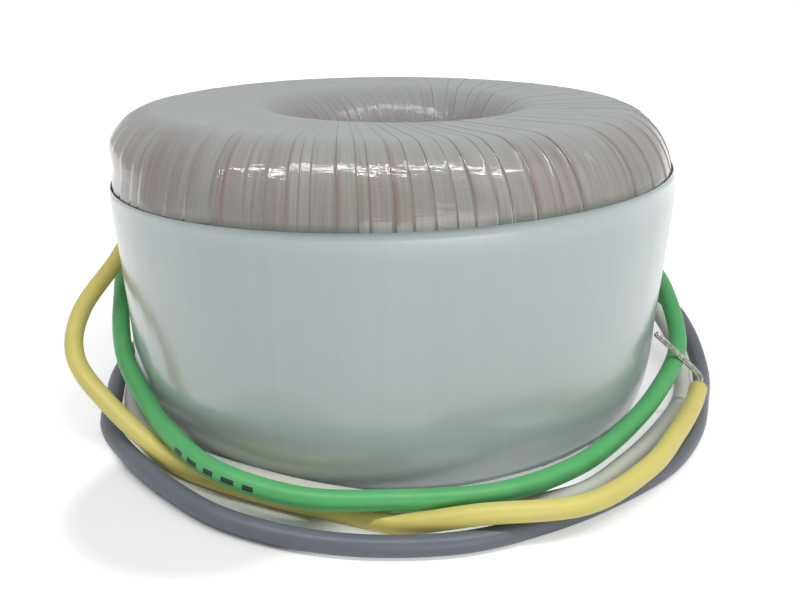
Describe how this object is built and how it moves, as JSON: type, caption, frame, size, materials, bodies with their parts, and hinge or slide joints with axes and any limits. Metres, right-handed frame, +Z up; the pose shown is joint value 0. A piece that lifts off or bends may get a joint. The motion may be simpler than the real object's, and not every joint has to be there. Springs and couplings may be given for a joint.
{
  "type": "toroidal transformer",
  "caption": "Taped ring transformer with a through hole, a paper label band round its wall and flexible stranded leads with bare tinned ends.",
  "frame": {"origin": "middle of the base, on the surface the ring stands on, at the centre of the body's plan outline; the axis of the hole is 1.6 mm in front of it, because the tape bulges over the joints at the back", "axes": "+Z up along the axis of the hole; +Y to the back, where the leads leave the tape; +X to the right seen from the front"},
  "size_m": [0.0902, 0.0944, 0.0412],
  "materials": {
    "core_steel": "cut strip edges, satin",
    "cap_plastic": "matt moulded",
    "primary_copper": "enamelled copper wire, glossy",
    "inner_tape": "clear polyester film, slightly yellow",
    "secondary_copper": "enamelled copper wire, glossy",
    "pad_paper": "matt pressboard",
    "solder": "solder over copper",
    "sleeve_plastic": "shrunk sleeving, satin",
    "wrap_tape": "clear polyester tape over copper, glossy",
    "label_paper": "coated paper, semi-gloss",
    "grey_insulation": "PVC, semi-gloss",
    "white_insulation": "PVC, semi-gloss",
    "green_insulation": "PVC, semi-gloss",
    "yellow_insulation": "PVC, semi-gloss",
    "tinned_copper": "tinned stranded copper"
  },
  "bodies": {
    "root": {"core": "core_steel", "core_cap_lower": "cap_plastic", "core_cap_upper": "cap_plastic", "primary_winding": "primary_copper", "interwinding_tape": "inner_tape", "secondary_winding": "secondary_copper", "joint_pad": "pad_paper", "joint_grey": "solder", "joint_white": "solder", "joint_green": "solder", "joint_yellow": "solder", "sleeve_grey": "sleeve_plastic", "sleeve_white": "sleeve_plastic", "sleeve_green": "sleeve_plastic", "sleeve_yellow": "sleeve_plastic", "outer_wrap": "wrap_tape", "label_band": "label_paper", "lead_grey": "grey_insulation", "lead_white": "white_insulation", "lead_green": "green_insulation", "lead_yellow": "yellow_insulation", "tinned_end_grey": "tinned_copper", "tinned_end_white": "tinned_copper", "tinned_end_green": "tinned_copper", "tinned_end_yellow": "tinned_copper"}
  },
  "joints": []
}
